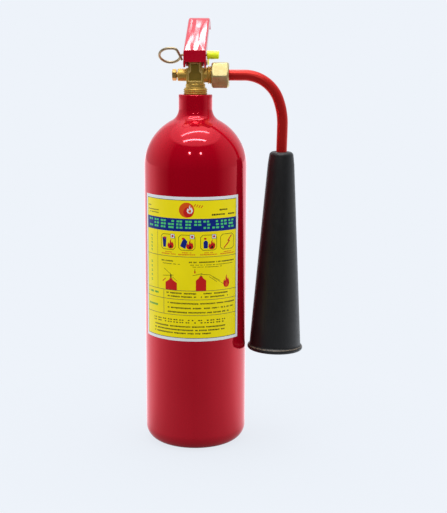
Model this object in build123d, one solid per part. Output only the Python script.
from build123d import *
import math
import os

# Portable carbon dioxide fire extinguisher, 2 kg size, standing on its base. Millimetres.
# Origin: centre of the base, on the surface it stands on. +Z is up, +X is the side that the
# discharge pipe leaves on, and +Y is the side that the lever and the carry handle reach out on.

# ---- fits ----
RUN_GAP = 0.05          # radial clearance of every pair that turns or slides
SEAT_GAP = 0.02         # radial clearance of a piece screwed or pressed into its bore
LOOSE_GAP = 0.2         # between a sheet metal ear and the brass that it straddles
CUT_PAST = 1.0          # how far a cutting shape runs past the face that it cuts
CUT_TURN = 20.0         # degrees that a channel's inside is cut past its tip
CUT_DEPTH = 4.0         # and how far below its flanges
TOUCH = 0.01            # places nearer than this count as one

# ---- cylinder ----
SHELL_R = 57.0
SHELL_WALL = 3.5
SHELL_STRAIGHT_TOP = 315.0
FOOT_R = 17.5           # outside corner between the wall and the base
LAND_WIDTH = 6.5        # flat ring that the cylinder stands on
DISH_RISE = 9.0         # the base is dished upwards inside that ring
DISH_WALL = 5.0
NECK_R = 18.7
NECK_STRAIGHT = 16.0
NECK_FILLET = 14.0      # between the dome and the neck
NECK_EDGE = 1.2

# ---- label ----
LABEL_BOTTOM = 127.9
LABEL_TOP = 287.4
LABEL_SWEEP = 123.7     # degrees of the cylinder that it wraps
LABEL_TURN = -4.45      # degrees from -Y to its middle, towards +X
LABEL_THICK = 0.15

# ---- valve body; heights are above the neck's top face ----
INLET_R = 13.5          # taper thread, at its large end
INLET_TAPER = 0.06      # radius lost per mm of depth
INLET_OUT = 7.1         # thread left outside the neck
INLET_DEPTH = 26.0      # length of the shank inside the neck
THREAD_PITCH = 2.0
THREAD_DEPTH = 1.1
THREAD_RISE = 0.4       # share of the pitch at which a flank reaches the crest
THREAD_FALL = 0.6       # share of the pitch at which the crest ends
THREAD_ROOT = 0.98      # share of the pitch at which the root is reached again
COLLAR_R = 10.8
COLLAR_HEIGHT = 4.0
BLOCK_HALF_Y = 10.0
BLOCK_HEIGHT = 17.5
TOWER_STEP = 1.95       # the upper part, which the handle's ears straddle, is this much narrower
TOWER_HEIGHT = 11.4
BLOCK_CORNER = 1.0
PANEL_DEPTH = 0.8       # recessed panel in the front face
PANEL_WIDE = 13.5
PANEL_NARROW = 8.7
PANEL_SILL = 3.6
PANEL_STEP = 13.9       # height of the step from wide to narrow, above the block's foot
PANEL_HEAD = 22.0
PANEL_BOSS_R = 1.8
OUTLET_RISE = 21.0      # outlet axis above the neck's top face

# ---- inside the valve ----
CHAMBER_R = 5.2
CHAMBER_RISE = 14.0     # underside of the seat above the neck's top face
SEAT_R = 2.6
SEAT_THICK = 2.5
OUTLET_BORE_R = 3.2
RELIEF_R = 1.2
RELIEF_WALL = 1.0       # brass between the relief passage and the chamber
BLOCK_WALL = 0.95       # brass between the relief passage and the side of the block
STEM_R = 2.5
STEM_FOOT_R = 1.6
STEM_SHOULDER_STEP = 0.8
STEM_SHOULDER_ROOM = 0.3
STEM_SHOULDER_HEIGHT = 2.0
STEM_SHOULDER_DROP = 2.5    # from the gland step down to the shoulder
STEM_LEVER_GAP = 0.3
O_RING_SECTION = 2.1    # between the stem and the gland's bore
GLAND_DEPTH = 10.0
GLAND_SLOT = 1.2
POPPET_ROOM = 0.8       # for the gas to pass round it
POPPET_HEIGHT = 8.5
POPPET_SEAL_THICK = 1.5
POPPET_NOSE_R = 1.7
POPPET_NOSE_RISE = 0.85 # above the seat's upper side
SPIGOT_R = 2.1
SPIGOT_HEIGHT = 3.0
SPRING_LENGTH = 17.0
SPRING_WIRE_R = 0.55
SPRING_TURNS = 6
BUSH_LENGTH = 12.5
BUSH_BORE_R = 2.5
BUSH_SOCKET = 9.5
DIP_TUBE_R = 4.0
DIP_TUBE_WALL = 1.0
DIP_TUBE_LIFT = 5.0     # from the middle of the dished base to the tube's lower end
DIP_TUBE_BEVEL = 6.0

# ---- burst disc port, on the -X side ----
PORT_R = 6.8
PORT_LENGTH = 10.05
PLUG_R = 3.0
PLUG_DEPTH = 7.0
PLUG_WAIST = 1.05
PLUG_HEX = 11.0
PLUG_HEAD = 4.85
PLUG_CHAMFER = 0.6
PORT_CHAMFER = 0.8
DISC_THICK = 0.3
DISC_WASHER_THICK = 0.9
PORT_PASSAGE_R = 1.4
VENT_R = 0.45

# ---- outlet and union nut, on the +X side ----
OUTLET_BOSS_R = 8.25
OUTLET_BOSS_LENGTH = 3.95
OUTLET_THREAD_LENGTH = 13.5
NUT_WALL = 3.75         # at the middle of a flat
NUT_START = 3.0         # along the outlet thread
NUT_LENGTH = 20.9
NUT_CHAMFER = 2.6       # length of the coned end
CONE_BITE = 0.3         # the cone's small end is this far inside the flats
NUT_TURN = 3.0          # degrees that its flats stand off level
OUTLET_SEAL_THICK = 1.2
COLLAR_THICK = 3.7
COLLAR_STEP = 2.6       # how far the pipe's collar stands out from the pipe
COLLAR_ROOM = 1.15      # between the collar and the crests of the outlet thread

# ---- discharge pipe ----
PIPE_R = 6.0
PIPE_WALL = 1.8
PIPE_BEND_R = 40.0
PIPE_BEND = 70.0        # degrees turned at that radius
PIPE_EASE_R = 80.0      # the bend opens out to this radius
PIPE_TAIL = 26.0        # straight pipe between the bend and the horn

# ---- horn ----
HORN_LENGTH = 227.0
HORN_TOP_R = 13.65
HORN_MOUTH_R = 29.5
HORN_WALL = 2.0
HORN_BEAD_R = 31.4
HORN_BEAD_HEIGHT = 5.0
HORN_LEAN = 1.25        # degrees from plumb, mouth towards the cylinder
HORN_GAP = 2.2          # from the bead to the cylinder
HORN_TOP_ROUND = 3.0
HORN_LIP = 1.2          # the bead's lower edge is this much inside its widest part
DIMPLE_WIDTH = 2.5      # countersink round the pipe in the horn's top
DIMPLE_DEPTH = 1.5
HORN_SOCKET = 12.0      # plastic above the metal insert
INSERT_WALL = 3.0
INSERT_LENGTH = 20.0
INSERT_LEDGE = 8.0      # length of the insert below the pipe's end
NOZZLE_STEP = 1.0       # the nozzle's radius is this much less than the pipe's
NOZZLE_LENGTH = 6.0
NOZZLE_BORE_R = 1.2
NOZZLE_CONE_R = 3.0

# ---- lever and handle: (y, z) places, z above the neck's top face ----
SHEET = 2.0
PIVOT_Y = -7.4
PIVOT_Z = 34.5
PIVOT_R = 1.5
PIVOT_HEAD_R = 2.8
PIVOT_HEAD = 0.6
CHEEK_GAP = 0.7         # between the lever's cheek and the handle's ear
LEVER_FRONT_Y = -16.0
LEVER_FRONT_BOTTOM = 35.0   # lower edge of the face that is bent down in front
LEVER_FRONT_TOP = 47.9
LEVER_CHEEK_BOTTOM = 29.5
LEVER_SLOPE = 21.5
LEVER_STRAIGHT_Y = 70.0     # where the straight slope ends
LEVER_TAIL_R = 35.0
LEVER_TAIL_DIP = 35.0       # degrees below level at the end
LEVER_FLANGE = 8.5
LEVER_BEND = 2.2
LEVER_SLIT = 0.5
CHEEK_BACK = [(12.0, 6.5), (4.0, 1.0), (1.4, 0.0)]  # (y past the pivot, z above its foot)
FLANGE_FOOT_Y = 22.2        # where the cheek narrows to the flange
LEVER_TRAVEL = 20.0
LEVER_END_ROUND = 5.0
HANDLE_SHEET = 1.8
EAR_BOTTOM = 30.5
EAR_FRONT_Y = -11.0
EAR_NOSE = [(0.0, 7.0), (1.8, 15.0)]    # (y behind the ear's front, z above its foot)
EAR_TOP_BACK = 6.5          # the ear's top ends this far in front of the web
EAR_FOOT_BACK = 1.5         # and its foot this far behind where the web starts
WEB_START_Y = 10.6
WEB_TOP = 42.2
WEB_SLOPE = 3.0
WEB_STRAIGHT_Y = 68.0
HANDLE_TAIL_R = 30.0
HANDLE_TAIL_DIP = 40.0
HANDLE_FLANGE = 9.0
HANDLE_BEND = 1.8
HANDLE_END_ROUND = 4.0
HANDLE_RIVET_HEAD = 0.4

# ---- safety pin and tamper seal ----
PIN_Y = -5.0
PIN_Z = 42.8
WIRE_R = 1.25
PIN_REACH = 7.7         # past the lever's far cheek
RING_R = 12.0           # to the middle of the wire
RING_OUT = 14.9         # from the lever's near cheek to the ring's middle
RING_TILT = 39.6        # degrees from level, near side up
RING_DROP = 1.1         # the ring hangs this far below the pin, in its own plane
RING_ROUNDING = 0.98    # corner radius of the ring's route, as a share of its radius
ELBOW_R = 2.75          # where the pin turns into the ring
WIRE_END = (0.6, -3.6, -5.5)    # free end of the wire, from the elbow, in (x, y, z)
SEAL_R = 4.65
SEAL_END_R = 4.35
SEAL_LENGTH = 13.0
SEAL_END_ROUND = 1.0
SEAL_START = 0.7        # from the lever's cheek
SEAL_CEILING = 1.0      # bore left open past the pin's tip
SEAL_TAIL_WIDTH = 1.5
SEAL_TAIL_THICK = 0.8
SEAL_TAIL_REACH = 12.1  # from the pin's axis to the tail's tip
SEAL_TAIL_SWING = 30.0  # degrees it hangs out towards -Y, which keeps it off the union nut
SEAL_TAIL_SETBACK = 0.8 # from the cap's open end

# ---- worked out from the above ----
STEM_SHOULDER_R = STEM_R + STEM_SHOULDER_STEP
UPPER_CHAMBER_R = STEM_SHOULDER_R + STEM_SHOULDER_ROOM
GLAND_R = STEM_R + O_RING_SECTION
POPPET_R = CHAMBER_R - POPPET_ROOM
RELIEF_X = CHAMBER_R + RELIEF_WALL + RELIEF_R
BLOCK_HALF_X = RELIEF_X + RELIEF_R + BLOCK_WALL
TOWER_HALF_X = BLOCK_HALF_X - TOWER_STEP
HANDLE_HALF_X = TOWER_HALF_X + LOOSE_GAP + HANDLE_SHEET
LEVER_HALF_X = HANDLE_HALF_X + CHEEK_GAP + SHEET
PIPE_COLLAR_R = PIPE_R + COLLAR_STEP
OUTLET_THREAD_R = PIPE_COLLAR_R + COLLAR_ROOM
NUT_HEX = 2 * (OUTLET_THREAD_R + NUT_WALL)
INSERT_R = PIPE_R + INSERT_WALL
NOZZLE_R = PIPE_R - NOZZLE_STEP
FILLET_REACH = SHELL_R + NECK_FILLET
FILLET_X = NECK_R + NECK_FILLET
FILLET_Z = SHELL_STRAIGHT_TOP + math.sqrt(FILLET_REACH**2 - FILLET_X**2)
NECK_TOP = FILLET_Z + NECK_STRAIGHT
INLET_BOTTOM = NECK_TOP - INLET_DEPTH
BLOCK_BOTTOM = NECK_TOP + INLET_OUT + COLLAR_HEIGHT
BLOCK_TOP = BLOCK_BOTTOM + BLOCK_HEIGHT
TOWER_TOP = BLOCK_TOP + TOWER_HEIGHT
OUTLET_Z = NECK_TOP + OUTLET_RISE
SEAT_Z = NECK_TOP + CHAMBER_RISE
GLAND_Z = TOWER_TOP - GLAND_DEPTH
BUSH_TOP = SEAT_Z - POPPET_SEAL_THICK - POPPET_HEIGHT - SPRING_LENGTH
PORT_END = BLOCK_HALF_X + PORT_LENGTH
DISC_X = PORT_END - PLUG_DEPTH - DISC_WASHER_THICK - DISC_THICK
OUTLET_FACE = BLOCK_HALF_X + OUTLET_BOSS_LENGTH + OUTLET_THREAD_LENGTH
NUT_X = BLOCK_HALF_X + OUTLET_BOSS_LENGTH + NUT_START
COLLAR_X = OUTLET_FACE + OUTLET_SEAL_THICK + RUN_GAP
COLLAR_END = COLLAR_X + COLLAR_THICK
LEAN = math.radians(HORN_LEAN)
HORN_TURN = 90 + HORN_LEAN
MOUTH_X = SHELL_R + HORN_GAP + HORN_BEAD_R
HORN_TOP_X = MOUTH_X + HORN_LENGTH * math.sin(LEAN)
PIN_HEIGHT = NECK_TOP + PIN_Z
PIVOT_HEIGHT = NECK_TOP + PIVOT_Z


# ---- helpers ----
def outline(*points):
    """Closed flat face through corner points."""
    return make_face(Polyline(*points, close=True))


def turned(*points):
    """Solid turned about Z from (radius, height) corners."""
    return revolve(Plane.XZ * outline(*points), Axis.Z)


def turned_x(*points):
    """Solid turned about the outlet axis from (x, radius) corners."""
    return Pos(0, 0, OUTLET_Z) * revolve(outline(*points), Axis.X)


def rod(radius, bottom, top):
    """Upright cylinder on the Z axis."""
    return Pos(0, 0, (bottom + top) / 2) * Cylinder(radius, top - bottom)


def cross_rod(radius, half_length, y, z):
    """Cylinder along X, centred on X = 0, at (y, z)."""
    return Pos(0, y, z) * Rot(0, 90, 0) * Cylinder(radius, 2 * half_length)


def outlet_rod(radius, start, end):
    """Cylinder on the outlet axis between two X places."""
    return Pos((start + end) / 2, 0, OUTLET_Z) * Rot(0, 90, 0) * Cylinder(radius, end - start)


def block(x, y, z):
    """Box between three pairs of limits."""
    size = [high - low for low, high in (x, y, z)]
    middle = [(high + low) / 2 for low, high in (x, y, z)]
    return Pos(*middle) * Box(*size)


def hexagon_bar(across_flats, start, end, turn=0.0):
    """Hexagon bar along the outlet axis, flats level unless turned."""
    section = RegularPolygon(across_flats / 2, 6, major_radius=False, rotation=turn)
    return Pos(start, 0, OUTLET_Z) * extrude(Plane.YZ * section, end - start)


def hexagon_cone(across_flats, start, end, chamfer_run):
    """Turned bar with both ends coned, which trims a hexagon's corners."""
    corner = across_flats / math.sqrt(3)
    flat = across_flats / 2
    return turned_x(
        (start, 0), (start, flat - CONE_BITE), (start + chamfer_run, corner),
        (end - chamfer_run, corner), (end, flat - CONE_BITE), (end, 0),
    )


def side_face(edges):
    """Face in the Y-Z plane from edges given in (y, z)."""
    return Plane.YZ * make_face(edges)


def across(face, half_x):
    """Solid of a Y-Z face, from -half_x to half_x."""
    return extrude(face, half_x, both=True)


def inlet_radius(z):
    """Crest radius of the taper thread at a height."""
    return INLET_R - INLET_TAPER * (NECK_TOP + INLET_OUT - z)


# ---- cylinder and label ----
def dome_arc(radius, end_x):
    """Quarter of the dome's section, from the wall up to a point end_x from the axis."""
    centre = Vector(0, SHELL_STRAIGHT_TOP)
    end_angle = math.acos(end_x / radius)
    middle = centre + Vector(math.cos(end_angle / 2), math.sin(end_angle / 2)) * radius
    end = centre + Vector(math.cos(end_angle), math.sin(end_angle)) * radius
    return ThreePointArc((radius, SHELL_STRAIGHT_TOP), middle, end)


def dish_arc(edge_x, edge_z, rise):
    """Shallow arc from the axis out to a ring, level at the axis."""
    radius = (edge_x**2 + rise**2) / (2 * rise)
    angle = math.asin(edge_x / radius) / 2
    centre_z = edge_z + rise - radius
    middle = (radius * math.sin(angle), centre_z + radius * math.cos(angle))
    return ThreePointArc((0, edge_z + rise), middle, (edge_x, edge_z))


def cylinder():
    land_out = SHELL_R - FOOT_R
    land_in = land_out - LAND_WIDTH
    diagonal = math.sqrt(0.5)
    foot_middle = (land_out + FOOT_R * diagonal, FOOT_R - FOOT_R * diagonal)
    dome = dome_arc(SHELL_R, SHELL_R * FILLET_X / FILLET_REACH)
    fillet_turn = math.asin((FILLET_Z - SHELL_STRAIGHT_TOP) / FILLET_REACH) / 2
    fillet_middle = Vector(FILLET_X, FILLET_Z) - Vector(
        math.cos(fillet_turn), math.sin(fillet_turn)) * NECK_FILLET
    outside = [
        dish_arc(land_in, 0, DISH_RISE),
        Line((land_in, 0), (land_out, 0)),
        ThreePointArc((land_out, 0), foot_middle, (SHELL_R, FOOT_R)),
        Line((SHELL_R, FOOT_R), (SHELL_R, SHELL_STRAIGHT_TOP)),
        dome,
        ThreePointArc(dome @ 1, fillet_middle, (NECK_R, FILLET_Z)),
        Polyline((NECK_R, FILLET_Z), (NECK_R, NECK_TOP), (0, NECK_TOP), (0, DISH_RISE)),
    ]
    inner_r = SHELL_R - SHELL_WALL
    corner = FOOT_R - SHELL_WALL
    corner_middle = (land_out + corner * diagonal, FOOT_R - corner * diagonal)
    floor_rise = DISH_RISE + DISH_WALL - SHELL_WALL
    mouth_r = inlet_radius(INLET_BOTTOM) + SEAT_GAP
    inner_dome = dome_arc(inner_r, mouth_r)
    inside = [
        dish_arc(land_in, SHELL_WALL, floor_rise),
        Line((land_in, SHELL_WALL), (land_out, SHELL_WALL)),
        ThreePointArc((land_out, SHELL_WALL), corner_middle, (inner_r, FOOT_R)),
        Line((inner_r, FOOT_R), (inner_r, SHELL_STRAIGHT_TOP)),
        inner_dome,
        Polyline(inner_dome @ 1, (0, (inner_dome @ 1).Y), (0, SHELL_WALL + floor_rise)),
    ]
    shell = revolve(Plane.XZ * make_face(outside), Axis.Z)
    shell = fillet(shell.edges().filter_by(GeomType.CIRCLE).sort_by(Axis.Z)[-1], NECK_EDGE)
    shell -= revolve(Plane.XZ * make_face(inside), Axis.Z)
    bore_low = (inner_dome @ 1).Y - CUT_PAST
    bore_high = NECK_TOP + CUT_PAST
    shell -= turned(
        (0, bore_low), (inlet_radius(bore_low) + SEAT_GAP, bore_low),
        (inlet_radius(bore_high) + SEAT_GAP, bore_high), (0, bore_high),
    )
    return shell


def label():
    band = turned(
        (SHELL_R, LABEL_BOTTOM), (SHELL_R + LABEL_THICK, LABEL_BOTTOM),
        (SHELL_R + LABEL_THICK, LABEL_TOP), (SHELL_R, LABEL_TOP),
    )
    reach = 2 * SHELL_R
    half = math.radians(LABEL_SWEEP / 2)
    side = (reach * math.sin(half), -reach * math.cos(half))
    far = (reach * math.sin(half), -2 * reach)
    wedge = outline((0, 0), side, far, (-far[0], far[1]), (-side[0], side[1]))
    wedge = Pos(0, 0, LABEL_BOTTOM) * extrude(wedge, LABEL_TOP - LABEL_BOTTOM)
    return Rot(0, 0, LABEL_TURN) * (band & wedge)


# ---- valve body and what is inside it ----
def inlet_shank():
    """Taper-threaded shank: rings of the thread's pitch on a cone."""
    top = NECK_TOP + INLET_OUT
    points = [(0, INLET_BOTTOM), (inlet_radius(INLET_BOTTOM) - THREAD_DEPTH, INLET_BOTTOM)]
    z = INLET_BOTTOM + THREAD_PITCH
    while z + THREAD_PITCH < top:
        crest = inlet_radius(z)
        points += [
            (crest - THREAD_DEPTH, z), (crest, z + THREAD_RISE * THREAD_PITCH),
            (crest, z + THREAD_FALL * THREAD_PITCH),
            (crest - THREAD_DEPTH, z + THREAD_ROOT * THREAD_PITCH),
        ]
        z += THREAD_PITCH
    points += [(inlet_radius(z) - THREAD_DEPTH, top), (0, top)]
    return turned(*points)


def front_panel():
    """Cutting shape of the recess in the front face, with a boss at each upper corner."""
    foot = BLOCK_BOTTOM + PANEL_SILL
    step = BLOCK_BOTTOM + PANEL_STEP
    head = BLOCK_BOTTOM + PANEL_HEAD
    front = -BLOCK_HALF_Y - CUT_PAST
    back = -BLOCK_HALF_Y + PANEL_DEPTH
    recess = block((-PANEL_WIDE / 2, PANEL_WIDE / 2), (front, back), (foot, step))
    recess += block((-PANEL_NARROW / 2, PANEL_NARROW / 2), (front, back), (foot, head))
    for side in (-1, 1):
        boss = Pos(side * PANEL_WIDE / 2, (front + back) / 2, step) * Rot(90, 0, 0)
        recess -= boss * Cylinder(PANEL_BOSS_R, back - front)
    return recess


def outlet_thread():
    """Outlet boss and its threaded spigot, as rings of the thread's pitch."""
    start = BLOCK_HALF_X + OUTLET_BOSS_LENGTH
    root = OUTLET_THREAD_R - THREAD_DEPTH
    points = [(0, 0), (0, OUTLET_BOSS_R), (start, OUTLET_BOSS_R), (start, root)]
    x = start
    while x + THREAD_PITCH <= OUTLET_FACE:
        points += [
            (x + THREAD_RISE * THREAD_PITCH, OUTLET_THREAD_R),
            (x + THREAD_FALL * THREAD_PITCH, OUTLET_THREAD_R),
            (x + THREAD_ROOT * THREAD_PITCH, root),
        ]
        x += THREAD_PITCH
    points += [(OUTLET_FACE, root), (OUTLET_FACE, 0)]
    return turned_x(*points)


def valve_body():
    solid = inlet_shank()
    solid += rod(COLLAR_R, NECK_TOP + INLET_OUT, BLOCK_BOTTOM)
    waist = block(
        (-BLOCK_HALF_X, BLOCK_HALF_X), (-BLOCK_HALF_Y, BLOCK_HALF_Y), (BLOCK_BOTTOM, BLOCK_TOP))
    tower = block(
        (-TOWER_HALF_X, TOWER_HALF_X), (-BLOCK_HALF_Y, BLOCK_HALF_Y), (BLOCK_BOTTOM, TOWER_TOP))
    solid += fillet(waist.edges().filter_by(Axis.Z), BLOCK_CORNER)
    solid += fillet(tower.edges().filter_by(Axis.Z), BLOCK_CORNER)
    solid += outlet_thread()
    port = outlet_rod(PORT_R, -PORT_END, 0)
    solid += chamfer(port.edges().filter_by(GeomType.CIRCLE).sort_by(Axis.X)[0], PORT_CHAMFER)
    solid -= front_panel()
    # the bore for poppet, spring and dip tube, then the seat, the upper chamber and the gland
    solid -= rod(CHAMBER_R, INLET_BOTTOM - CUT_PAST, SEAT_Z)
    solid -= rod(SEAT_R, SEAT_Z - CUT_PAST, SEAT_Z + SEAT_THICK)
    solid -= rod(UPPER_CHAMBER_R, SEAT_Z + SEAT_THICK, GLAND_Z)
    solid -= rod(GLAND_R, GLAND_Z, TOWER_TOP + CUT_PAST)
    solid -= outlet_rod(OUTLET_BORE_R, 0, OUTLET_FACE + CUT_PAST)
    # the burst disc port, fed from under the seat by a drilled passage
    solid -= outlet_rod(PLUG_R + SEAT_GAP, -PORT_END - CUT_PAST, -DISC_X)
    solid -= outlet_rod(PORT_PASSAGE_R, -DISC_X - CUT_PAST, -RELIEF_X)
    solid -= Pos(-RELIEF_X, 0, 0) * rod(RELIEF_R, INLET_BOTTOM - CUT_PAST, OUTLET_Z)
    for y in (PIVOT_Y, -PIVOT_Y):
        solid -= cross_rod(PIVOT_R + SEAT_GAP, TOWER_HALF_X + CUT_PAST, y, PIVOT_HEIGHT)
    return solid


def lever_underside(y):
    """Height of the underside of the lever's slope at a place y."""
    slope = math.radians(LEVER_SLOPE)
    top = NECK_TOP + LEVER_FRONT_TOP + (y - LEVER_FRONT_Y) * math.tan(slope)
    return top - SHEET / math.cos(slope)


def stem():
    """Push rod: the lever presses its domed top and its foot presses the poppet."""
    foot = SEAT_Z + SEAT_THICK + POPPET_NOSE_RISE
    shoulder_top = GLAND_Z - STEM_SHOULDER_DROP
    shoulder_foot = shoulder_top - STEM_SHOULDER_HEIGHT
    slope = math.radians(LEVER_SLOPE)
    centre = lever_underside(0) - STEM_LEVER_GAP - STEM_R / math.cos(slope)
    solid = rod(STEM_R, shoulder_top, centre)
    solid += rod(STEM_SHOULDER_R, shoulder_foot, shoulder_top)
    solid += rod(STEM_FOOT_R, foot, shoulder_foot)
    return solid + Pos(0, 0, centre) * Sphere(STEM_R)


def poppet():
    """Closing piece under the seat, with a nose through it and a spigot for the spring."""
    shelf = SEAT_Z - POPPET_SEAL_THICK
    solid = rod(POPPET_R, shelf - POPPET_HEIGHT, shelf)
    solid += rod(POPPET_NOSE_R, shelf, SEAT_Z + SEAT_THICK + POPPET_NOSE_RISE)
    return solid + rod(SPIGOT_R, shelf - POPPET_HEIGHT - SPIGOT_HEIGHT, shelf - POPPET_HEIGHT)


def poppet_seal():
    shelf = SEAT_Z - POPPET_SEAL_THICK
    return rod(POPPET_R, shelf, SEAT_Z) - rod(
        POPPET_NOSE_R + SEAT_GAP, shelf - CUT_PAST, SEAT_Z + CUT_PAST)


def valve_spring():
    """Compression spring from the bush up to the poppet, round the spigot."""
    radius = (SPIGOT_R + POPPET_R) / 2
    height = SPRING_LENGTH - 2 * SPRING_WIRE_R
    path = Pos(0, 0, BUSH_TOP + SPRING_WIRE_R) * Helix(height / SPRING_TURNS, height, radius)
    section = Plane(path @ 0, z_dir=path % 0) * Circle(SPRING_WIRE_R)
    return sweep(section, path, is_frenet=True)


def dip_tube_bush():
    """Screwed into the shank from below: carries the spring above and the dip tube below."""
    bottom = BUSH_TOP - BUSH_LENGTH
    solid = rod(CHAMBER_R - SEAT_GAP, bottom, BUSH_TOP)
    solid -= rod(BUSH_BORE_R, bottom, BUSH_TOP + CUT_PAST)
    return solid - rod(DIP_TUBE_R, bottom - CUT_PAST, bottom + BUSH_SOCKET)


def dip_tube():
    """Straight tube down to just above the base, its end cut on a slant."""
    top = BUSH_TOP - BUSH_LENGTH + BUSH_SOCKET
    bottom = DISH_RISE + DISH_WALL + DIP_TUBE_LIFT
    solid = rod(DIP_TUBE_R, bottom, top)
    solid -= rod(DIP_TUBE_R - DIP_TUBE_WALL, bottom - CUT_PAST, top + CUT_PAST)
    slant = outline(
        (-DIP_TUBE_R, bottom), (DIP_TUBE_R, bottom + DIP_TUBE_BEVEL), (DIP_TUBE_R, bottom))
    return solid - extrude(Plane.XZ * slant, DIP_TUBE_R, both=True)


def stem_o_ring():
    section = (GLAND_R - STEM_R) / 2 - RUN_GAP
    return Pos(0, 0, GLAND_Z + section) * Torus((GLAND_R + STEM_R) / 2, section)


def gland_nut():
    """Round nut with a driver slot, flush with the top of the body."""
    bottom = GLAND_Z + GLAND_R - STEM_R + SEAT_GAP
    solid = rod(GLAND_R - SEAT_GAP, bottom, TOWER_TOP)
    solid -= rod(STEM_R + RUN_GAP, bottom - CUT_PAST, TOWER_TOP + CUT_PAST)
    slot = (-GLAND_SLOT / 2, GLAND_SLOT / 2)
    return solid - block(slot, (-GLAND_R, GLAND_R), (TOWER_TOP - GLAND_SLOT, TOWER_TOP + CUT_PAST))


# ---- burst disc ----
def burst_disc():
    return outlet_rod(PLUG_R, -DISC_X - DISC_THICK, -DISC_X)


def burst_disc_washer():
    start = -DISC_X - DISC_THICK - DISC_WASHER_THICK
    end = -DISC_X - DISC_THICK
    return outlet_rod(PLUG_R, start, end) - outlet_rod(
        PORT_PASSAGE_R, start - CUT_PAST, end + CUT_PAST)


def burst_disc_plug():
    """Hexagon-headed plug that clamps the disc, bored and cross-drilled to vent the gas."""
    inner = -PORT_END + PLUG_DEPTH
    head = -PORT_END - PLUG_WAIST
    solid = outlet_rod(PLUG_R, head, inner)
    bar = hexagon_bar(PLUG_HEX, head - PLUG_HEAD, head, 30)
    solid += bar & hexagon_cone(PLUG_HEX, head - PLUG_HEAD, head, PLUG_CHAMFER)
    solid -= outlet_rod(PORT_PASSAGE_R, -PORT_END - PLUG_WAIST / 2, inner + CUT_PAST)
    vent_x = -PORT_END - PLUG_WAIST / 2
    return solid - Pos(vent_x, 0, 0) * rod(VENT_R, OUTLET_Z - PLUG_HEX, OUTLET_Z + PLUG_HEX)


# ---- outlet, pipe and horn ----
def union_nut():
    end = NUT_X + NUT_LENGTH
    solid = hexagon_bar(NUT_HEX, NUT_X, end, NUT_TURN)
    solid &= hexagon_cone(NUT_HEX, NUT_X, end, NUT_CHAMFER)
    solid -= outlet_rod(OUTLET_THREAD_R + SEAT_GAP, NUT_X - CUT_PAST, COLLAR_END + RUN_GAP)
    return solid - outlet_rod(PIPE_R + RUN_GAP, COLLAR_END, end + CUT_PAST)


def outlet_seal():
    start = OUTLET_FACE
    end = start + OUTLET_SEAL_THICK
    return outlet_rod(PIPE_COLLAR_R, start, end) - outlet_rod(
        PIPE_R - PIPE_WALL, start - CUT_PAST, end + CUT_PAST)


def pipe_collar():
    """Ring brazed on the pipe's end, which turns inside the union nut."""
    ring = outlet_rod(PIPE_COLLAR_R, COLLAR_X, COLLAR_END)
    return ring - outlet_rod(PIPE_R, COLLAR_X - CUT_PAST, COLLAR_END + CUT_PAST)


def pipe_route():
    """Centre line in (x, z): level, two tangent arcs, then down along the horn's lean."""
    turn = math.radians(PIPE_BEND)
    final = math.radians(HORN_TURN)
    bend = Vector(math.sin(turn), -(1 - math.cos(turn))) * PIPE_BEND_R
    ease = Vector(
        math.sin(final) - math.sin(turn), -(math.cos(turn) - math.cos(final))) * PIPE_EASE_R
    down = Vector(math.cos(final), -math.sin(final))
    bend_start = Vector(HORN_TOP_X, OUTLET_Z) - Vector((bend + ease + down * PIPE_TAIL).X, 0)
    start = Vector(COLLAR_X, OUTLET_Z)
    first = JernArc(bend_start, (1, 0), PIPE_BEND_R, -PIPE_BEND)
    second = JernArc(first @ 1, first % 1, PIPE_EASE_R, PIPE_BEND - HORN_TURN)
    tail_end = second @ 1 + down * (PIPE_TAIL + HORN_SOCKET + INSERT_LENGTH - INSERT_LEDGE)
    return Line(start, bend_start) + first + second + Line(second @ 1, tail_end)


def horn_place():
    """Frame at the middle of the horn's top, its Z axis along the horn towards the pipe."""
    end = pipe_route() @ 1
    down = Vector(math.cos(math.radians(HORN_TURN)), -math.sin(math.radians(HORN_TURN)))
    top = end - down * (HORN_SOCKET + INSERT_LENGTH - INSERT_LEDGE)
    return Pos(top.X, 0, top.Y) * Rot(0, HORN_LEAN, 0)


def discharge_pipe():
    route = Plane.XZ * pipe_route()
    start = Plane(route @ 0, z_dir=route % 0)
    outside = sweep(start * Circle(PIPE_R), route)
    return outside - sweep(start * Circle(PIPE_R - PIPE_WALL), route)


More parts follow.
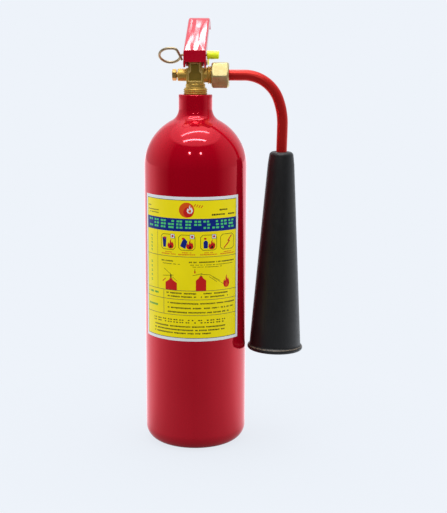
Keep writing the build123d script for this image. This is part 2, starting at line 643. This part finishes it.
def horn():
    """Plastic cone with a socket for pipe and insert at the top and a bead round its mouth."""
    floor = HORN_SOCKET + INSERT_LENGTH
    spread = (HORN_MOUTH_R - HORN_TOP_R) / HORN_LENGTH
    neck = HORN_TOP_R + spread * HORN_TOP_ROUND
    bead_top = HORN_LENGTH - HORN_BEAD_HEIGHT
    bead_swell = HORN_BEAD_HEIGHT / 2
    body = make_face([
        Line((0, 0), (HORN_TOP_R - HORN_TOP_ROUND, 0)),
        ThreePointArc(
            (HORN_TOP_R - HORN_TOP_ROUND, 0),
            (neck - HORN_TOP_ROUND * (1 - math.sqrt(0.5)), -HORN_TOP_ROUND * (1 - math.sqrt(0.5))),
            (neck, -HORN_TOP_ROUND)),
        Line((neck, -HORN_TOP_ROUND), (HORN_TOP_R + spread * bead_top, -bead_top)),
        ThreePointArc(
            (HORN_TOP_R + spread * bead_top, -bead_top),
            (HORN_BEAD_R, -bead_top - bead_swell),
            (HORN_BEAD_R - HORN_LIP, -HORN_LENGTH)),
        Polyline((HORN_BEAD_R - HORN_LIP, -HORN_LENGTH), (0, -HORN_LENGTH), (0, 0)),
    ])
    bell_top = HORN_TOP_R + spread * floor - HORN_WALL
    bell_mouth = HORN_MOUTH_R - HORN_WALL
    solid = revolve(Plane.XZ * body, Axis.Z)
    solid -= turned(
        (0, -floor), (bell_top, -floor), (bell_mouth, -HORN_LENGTH),
        (bell_mouth, -HORN_LENGTH - CUT_PAST), (0, -HORN_LENGTH - CUT_PAST),
    )
    solid -= rod(PIPE_R + SEAT_GAP, -HORN_SOCKET - CUT_PAST, CUT_PAST)
    solid -= turned((0, 0), (PIPE_R + DIMPLE_WIDTH, 0), (PIPE_R, -DIMPLE_DEPTH), (0, -DIMPLE_DEPTH))
    solid -= rod(INSERT_R, -floor - CUT_PAST, -HORN_SOCKET)
    return horn_place() * solid


def horn_insert():
    """Metal sleeve moulded into the horn, in which the pipe's end and the nozzle are fixed."""
    bottom = -HORN_SOCKET - INSERT_LENGTH
    solid = rod(INSERT_R, bottom, -HORN_SOCKET)
    solid -= rod(PIPE_R + SEAT_GAP, bottom + INSERT_LEDGE, CUT_PAST)
    return horn_place() * (solid - rod(NOZZLE_R, bottom - CUT_PAST, 0))


def nozzle():
    """Plug with the metering hole, opening in a cone into the horn."""
    top = -HORN_SOCKET - INSERT_LENGTH + INSERT_LEDGE
    bottom = top - NOZZLE_LENGTH
    solid = rod(NOZZLE_R, bottom, top) - rod(
        NOZZLE_BORE_R, bottom - CUT_PAST, top + CUT_PAST)
    solid -= turned(
        (0, bottom - CUT_PAST), (NOZZLE_CONE_R, bottom - CUT_PAST), (NOZZLE_CONE_R, bottom),
        (NOZZLE_BORE_R, bottom + NOZZLE_LENGTH / 2), (0, bottom + NOZZLE_LENGTH / 2),
    )
    return horn_place() * solid


# ---- lever, handle and their pins ----
def grip_line(start, slope, straight_y, tail_r, dip, depth):
    """Edges of a grip seen from the side: its back from start to the tip, and the same line
    a flange depth below. Gives the back's edges, the lower edges and the tip's lower end."""
    tilt = math.radians(slope)
    along = Vector(math.cos(tilt), math.sin(tilt))
    under = Vector(math.sin(tilt), -math.cos(tilt))
    crest = start + along * ((straight_y - start.X) / along.X)
    centre = crest + under * tail_r
    turn = math.radians(slope + dip)

    def on_arc(radius, angle):
        return centre + Vector(math.sin(angle - tilt), math.cos(angle - tilt)) * radius

    back = [
        Line(start, crest),
        ThreePointArc(crest, on_arc(tail_r, turn / 2), on_arc(tail_r, turn)),
    ]
    inner_r = tail_r - depth
    tip = Line(on_arc(tail_r, turn), on_arc(inner_r, turn))
    lower = ThreePointArc(on_arc(inner_r, turn), on_arc(inner_r, turn / 2), crest + under * depth)
    return back, [tip, lower], crest + under * depth


def rounded_plan(half_x, start_y, end_y, radius):
    """Upright prism with its far corners rounded, which trims a grip's tip in plan."""
    low = NECK_TOP
    high = NECK_TOP + 4 * LEVER_FRONT_TOP
    prism = block((-half_x, half_x), (start_y, end_y), (low, high))
    return fillet(prism.edges().filter_by(Axis.Z).group_by(Axis.Y)[-1], radius)


def back_edges(solid, half_x, start_y, line_z):
    """Edges where a channel's back meets its flanges: on its sides, past a place y, and above
    the line that line_z gives for each y."""
    def is_one(edge):
        middle = edge @ 0.5
        on_side = abs(abs(middle.X) - half_x) < TOUCH
        along_side = abs((edge @ 0).X - (edge @ 1).X) < TOUCH
        return on_side and along_side and middle.Y > start_y and middle.Z > line_z(middle.Y)

    return [edge for edge in solid.edges() if is_one(edge)]


def pin_slot():
    """Cutting shape for the safety pin, long enough for the lever to swing past it."""
    arm = Vector(PIN_Y - PIVOT_Y, PIN_Z - PIVOT_Z)
    radius = arm.length
    start = math.degrees(math.atan2(arm.Y, arm.X))
    slot = SlotArc(CenterArc((0, 0), radius, start, LEVER_TRAVEL), 2 * (WIRE_R + RUN_GAP))
    face = Plane.YZ * (Pos(PIVOT_Y, PIVOT_HEIGHT) * slot)
    return extrude(face, LEVER_HALF_X + CUT_PAST, both=True)


def operating_lever():
    """Pressed channel, open below, with its front bent down and cheeks at the pivot."""
    corner = Vector(LEVER_FRONT_Y, NECK_TOP + LEVER_FRONT_TOP)
    back, tail, joint = grip_line(
        corner, LEVER_SLOPE, LEVER_STRAIGHT_Y, LEVER_TAIL_R, LEVER_TAIL_DIP, LEVER_FLANGE)
    along = Vector(math.cos(math.radians(LEVER_SLOPE)), math.sin(math.radians(LEVER_SLOPE)))
    flange_foot = joint - along * ((joint.X - FLANGE_FOOT_Y) / along.X)
    foot = NECK_TOP + LEVER_CHEEK_BOTTOM
    back_points = [(PIVOT_Y + y, foot + z) for y, z in CHEEK_BACK]
    cheeks = Polyline(joint, flange_foot, *back_points, (LEVER_FRONT_Y, foot), corner)
    solid = across(side_face(back + tail + [cheeks]), LEVER_HALF_X)
    solid &= rounded_plan(
        LEVER_HALF_X, LEVER_FRONT_Y, solid.bounding_box().max.Y + 0.5, LEVER_END_ROUND)

    under = Vector(along.Y, -along.X) * SHEET
    inner_corner = Vector(
        LEVER_FRONT_Y + SHEET, lever_underside(LEVER_FRONT_Y + SHEET))
    inner_back, inner_tail, inner_joint = grip_line(
        inner_corner, LEVER_SLOPE, LEVER_STRAIGHT_Y + under.X, LEVER_TAIL_R - SHEET,
        LEVER_TAIL_DIP + CUT_TURN, LEVER_FLANGE + CUT_DEPTH)
    low = NECK_TOP + LEVER_CHEEK_BOTTOM - CUT_PAST
    closing = Polyline(
        inner_joint, (inner_joint.X, low), (LEVER_FRONT_Y + SHEET, low), inner_corner)
    inside = across(side_face(inner_back + inner_tail + [closing]), LEVER_HALF_X - SHEET)
    edge_low = NECK_TOP + LEVER_FRONT_BOTTOM
    solid = fillet(back_edges(solid, LEVER_HALF_X, LEVER_FRONT_Y, lever_underside), LEVER_BEND)
    solid -= inside
    open_front = (LEVER_FRONT_Y - CUT_PAST, LEVER_FRONT_Y + SHEET + CUT_PAST)
    inner_x = LEVER_HALF_X - SHEET
    solid -= block((-inner_x, inner_x), open_front, (low, edge_low))
    slit_top = NECK_TOP + LEVER_FRONT_TOP - SHEET
    for side in (-1, 1):
        slit = sorted((side * inner_x, side * (inner_x - LEVER_SLIT)))
        solid -= block(slit, open_front, (edge_low - CUT_PAST, slit_top))
    solid -= cross_rod(PIVOT_R + RUN_GAP, LEVER_HALF_X + CUT_PAST, PIVOT_Y, PIVOT_HEIGHT)
    return solid - pin_slot()


def carry_handle():
    """Pressed channel riveted to the valve by two ears, which also hold the safety pin."""
    corner = Vector(WEB_START_Y, NECK_TOP + WEB_TOP)
    back, tail, joint = grip_line(
        corner, WEB_SLOPE, WEB_STRAIGHT_Y, HANDLE_TAIL_R, HANDLE_TAIL_DIP, HANDLE_FLANGE)
    along = Vector(math.cos(math.radians(WEB_SLOPE)), math.sin(math.radians(WEB_SLOPE)))
    flange_foot = joint - along * ((joint.X - WEB_START_Y - HANDLE_FLANGE) / along.X)
    foot = NECK_TOP + EAR_BOTTOM
    top = foot + EAR_NOSE[-1][1]
    nose = [(EAR_FRONT_Y + y, foot + z) for y, z in EAR_NOSE]
    ears = Polyline(
        joint, flange_foot, (WEB_START_Y + EAR_FOOT_BACK, foot), (EAR_FRONT_Y, foot),
        *nose, (WEB_START_Y - EAR_TOP_BACK, top), corner)
    solid = across(side_face(back + tail + [ears]), HANDLE_HALF_X)
    solid &= rounded_plan(
        HANDLE_HALF_X, EAR_FRONT_Y, solid.bounding_box().max.Y + 0.5, HANDLE_END_ROUND)
    edges = back_edges(
        solid, HANDLE_HALF_X, WEB_START_Y + CUT_PAST,
        lambda y: NECK_TOP + WEB_TOP - HANDLE_FLANGE / 2)
    solid = fillet(edges, HANDLE_BEND)

    inner_x = TOWER_HALF_X + LOOSE_GAP
    under = Vector(along.Y, -along.X) * HANDLE_SHEET
    inner_back, inner_tail, inner_joint = grip_line(
        corner + under, WEB_SLOPE, WEB_STRAIGHT_Y + under.X, HANDLE_TAIL_R - HANDLE_SHEET,
        HANDLE_TAIL_DIP + CUT_TURN, HANDLE_FLANGE + CUT_DEPTH)
    low = foot - CUT_PAST
    closing = Polyline(inner_joint, (inner_joint.X, low), (corner.X, low), corner + under)
    solid -= across(side_face(inner_back + inner_tail + [closing]), inner_x)
    solid -= block((-inner_x, inner_x), (EAR_FRONT_Y - CUT_PAST, WEB_START_Y), (low, top + CUT_PAST))
    for y in (PIVOT_Y, -PIVOT_Y):
        solid -= cross_rod(PIVOT_R + SEAT_GAP, HANDLE_HALF_X + CUT_PAST, y, PIVOT_HEIGHT)
    return solid - cross_rod(WIRE_R + RUN_GAP, HANDLE_HALF_X + CUT_PAST, PIN_Y, PIN_HEIGHT)


def rivet(half_x, head, y):
    """Rivet along X with a low head at each end, at the pivot's height."""
    solid = cross_rod(PIVOT_R, half_x + head, y, PIVOT_HEIGHT)
    for side in (-1, 1):
        middle = Pos(side * (half_x + head / 2), y, PIVOT_HEIGHT) * Rot(0, 90, 0)
        solid += middle * Cylinder(PIVOT_HEAD_R, head)
    return solid


def lever_pivot():
    return rivet(LEVER_HALF_X + RUN_GAP, PIVOT_HEAD, PIVOT_Y)


def handle_rivet():
    return rivet(HANDLE_HALF_X, HANDLE_RIVET_HEAD, -PIVOT_Y)


# ---- safety pin and tamper seal ----
def safety_pin():
    """One wire: a straight pin through both cheeks and ears, bent into a pull ring."""
    tilt = math.radians(RING_TILT)
    near = Vector(0, -math.cos(tilt), math.sin(tilt))
    middle = Vector(-LEVER_HALF_X - RING_OUT, PIN_Y, PIN_HEIGHT) - near * RING_DROP

    def ring_corner(angle):
        reach = RING_R / math.cos(math.radians(30))    # corner of a hexagon round the ring
        turn = math.radians(angle)
        return middle + Vector(-reach * math.cos(turn), 0, 0) + near * (reach * math.sin(turn))

    tip = Vector(LEVER_HALF_X + PIN_REACH, PIN_Y, PIN_HEIGHT)
    elbow = Vector(-LEVER_HALF_X - 2 * WIRE_R, PIN_Y, PIN_HEIGHT)
    corners = [ring_corner(angle) for angle in (-120, -60, 0, 60, 120)]
    free_end = elbow + Vector(*WIRE_END)
    radius = RING_R * RING_ROUNDING
    route = FilletPolyline(
        tip, elbow, *corners, free_end, radius=[ELBOW_R] + [radius] * 4 + [radius / 2])
    start = Plane(route @ 0, z_dir=route % 0)
    return sweep(start * Circle(WIRE_R), route)


def tamper_seal():
    """Soft cap pushed over the pin's tip, with a thin tail that hangs from it."""
    start = LEVER_HALF_X + SEAL_START
    end = start + SEAL_LENGTH
    bore_end = LEVER_HALF_X + PIN_REACH + SEAL_CEILING
    cap = revolve(outline((start, 0), (start, SEAL_R), (end, SEAL_END_R), (end, 0)), Axis.X)
    cap = fillet(cap.edges().filter_by(GeomType.CIRCLE).sort_by(Axis.X)[-1], SEAL_END_ROUND)
    cap = Pos(0, PIN_Y, PIN_HEIGHT) * cap
    tail_x = (start + SEAL_TAIL_SETBACK, start + SEAL_TAIL_SETBACK + SEAL_TAIL_WIDTH)
    tail_y = (-SEAL_TAIL_THICK / 2, SEAL_TAIL_THICK / 2)
    tail = block(tail_x, tail_y, (-SEAL_TAIL_REACH, -SEAL_R / 2))
    cap += Pos(0, PIN_Y, PIN_HEIGHT) * Rot(-SEAL_TAIL_SWING, 0, 0) * tail
    bore = Pos((start + bore_end) / 2 - CUT_PAST, PIN_Y, PIN_HEIGHT) * Rot(0, 90, 0)
    return cap - bore * Cylinder(WIRE_R + RUN_GAP, bore_end - start + 2 * CUT_PAST)


PIECES = [
    cylinder, label,
    valve_body, gland_nut, stem_o_ring, stem, poppet, poppet_seal, valve_spring,
    dip_tube_bush, dip_tube,
    burst_disc, burst_disc_washer, burst_disc_plug,
    union_nut, outlet_seal, pipe_collar, discharge_pipe,
    horn, horn_insert, nozzle,
    operating_lever, lever_pivot, carry_handle, handle_rivet,
    safety_pin, tamper_seal,
]

os.makedirs("parts", exist_ok=True)
for piece in PIECES:
    export_step(piece(), f"parts/{piece.__name__}.step")
